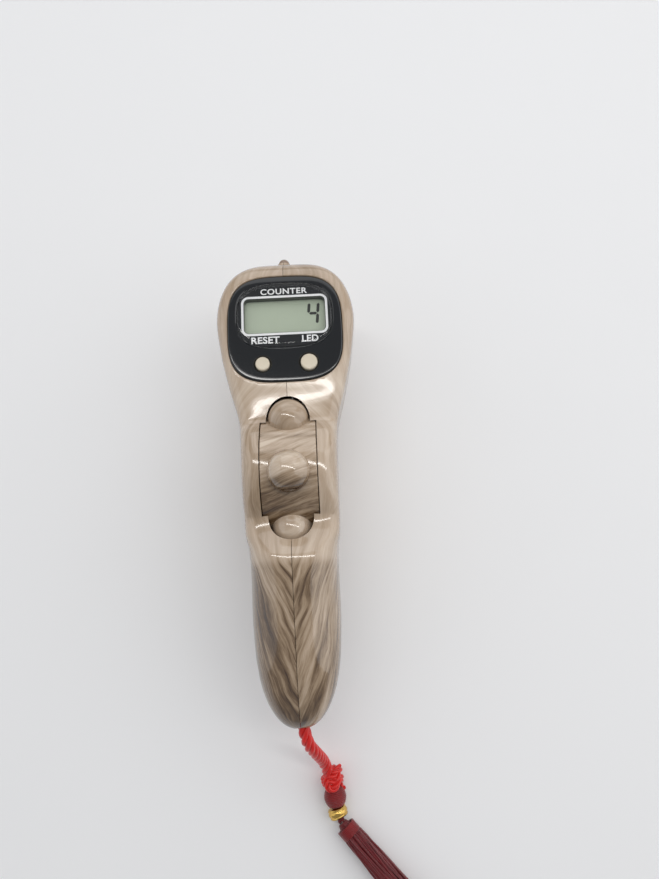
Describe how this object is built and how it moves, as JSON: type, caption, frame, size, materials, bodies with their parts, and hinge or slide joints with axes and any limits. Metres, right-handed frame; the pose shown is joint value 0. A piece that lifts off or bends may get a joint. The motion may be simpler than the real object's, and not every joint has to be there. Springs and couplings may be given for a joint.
{
  "type": "hand tally counter",
  "caption": "Hand tally counter with a bead-studded thumb wheel, electronic display, push buttons, torch light and a tasselled cord.",
  "frame": {"origin": "under the middle of the case, in the plane of the flat land on its back", "axes": "+X to the user's right, +Y along the case from the tassel end to the display end, +Z out of the display"},
  "size_m": [0.0565, 0.1805, 0.0436],
  "materials": {
    "wood_print_gloss": "gloss",
    "black_gloss": "gloss",
    "clear_lens": "gloss",
    "bead_print_gloss": "gloss",
    "pom_white": "matte",
    "steel": "satin",
    "spring_brass": "satin",
    "green_board": "satin",
    "lcd_glass": "satin",
    "grey_rubber": "matte",
    "epoxy_black": "matte",
    "cream_plastic": "satin",
    "switch_black": "matte",
    "led_resin": "gloss",
    "wire_red": "satin",
    "cell_steel": "satin",
    "red_satin_cord": "satin",
    "gold_bead": "gloss",
    "maroon_thread": "satin"
  },
  "bodies": {
    "case": {"left_shell": "wood_print_gloss", "right_shell": "wood_print_gloss", "display_bezel": "black_gloss", "display_window": "clear_lens", "battery_door": "wood_print_gloss", "wheel_axle": "steel", "detent_spring": "spring_brass", "count_contact_spring": "spring_brass", "count_contact_blade": "spring_brass", "contact_wires": "wire_red", "circuit_board": "green_board", "lcd_panel": "lcd_glass", "lcd_connector_strips": "grey_rubber", "controller_chip": "epoxy_black", "reset_switch": "switch_black", "led_switch": "switch_black", "torch_led": "led_resin", "led_leads": "steel", "battery_cell_left": "cell_steel", "battery_cell_right": "cell_steel", "battery_contact_positive": "spring_brass", "battery_contact_negative": "spring_brass", "battery_bridge": "spring_brass", "case_screws": "steel", "door_screw": "steel", "lanyard_pin": "steel", "lanyard_cord": "red_satin_cord", "lanyard_knot": "red_satin_cord", "tassel_bead": "gold_bead", "tassel_neck": "maroon_thread", "tassel_skirt": "maroon_thread"},
    "wheel": {"counting_drum": "bead_print_gloss", "bead_1": "bead_print_gloss", "bead_2": "bead_print_gloss", "bead_3": "bead_print_gloss", "bead_4": "bead_print_gloss", "bead_5": "bead_print_gloss", "bead_6": "bead_print_gloss", "detent_star": "pom_white", "count_star": "pom_white"},
    "reset_key": {"reset_button": "cream_plastic", "reset_plunger": "switch_black"},
    "led_key": {"led_button": "cream_plastic", "led_plunger": "switch_black"}
  },
  "joints": [
    {"name": "wheel_spin", "type": "hinge", "parent": "case", "child": "wheel", "pos_m": [0, 0.001, 0.0228], "axis": [1, 0, 0], "continuous": true, "deforming": ["detent_spring", "count_contact_spring"]},
    {"name": "reset_press", "type": "slide", "parent": "case", "child": "reset_key", "axis": [0, 0, -1], "range_m": [0, 0.0004], "stiffness_N_per_m": 400},
    {"name": "led_press", "type": "slide", "parent": "case", "child": "led_key", "axis": [0, 0, -1], "range_m": [0, 0.0004], "stiffness_N_per_m": 400}
  ]
}
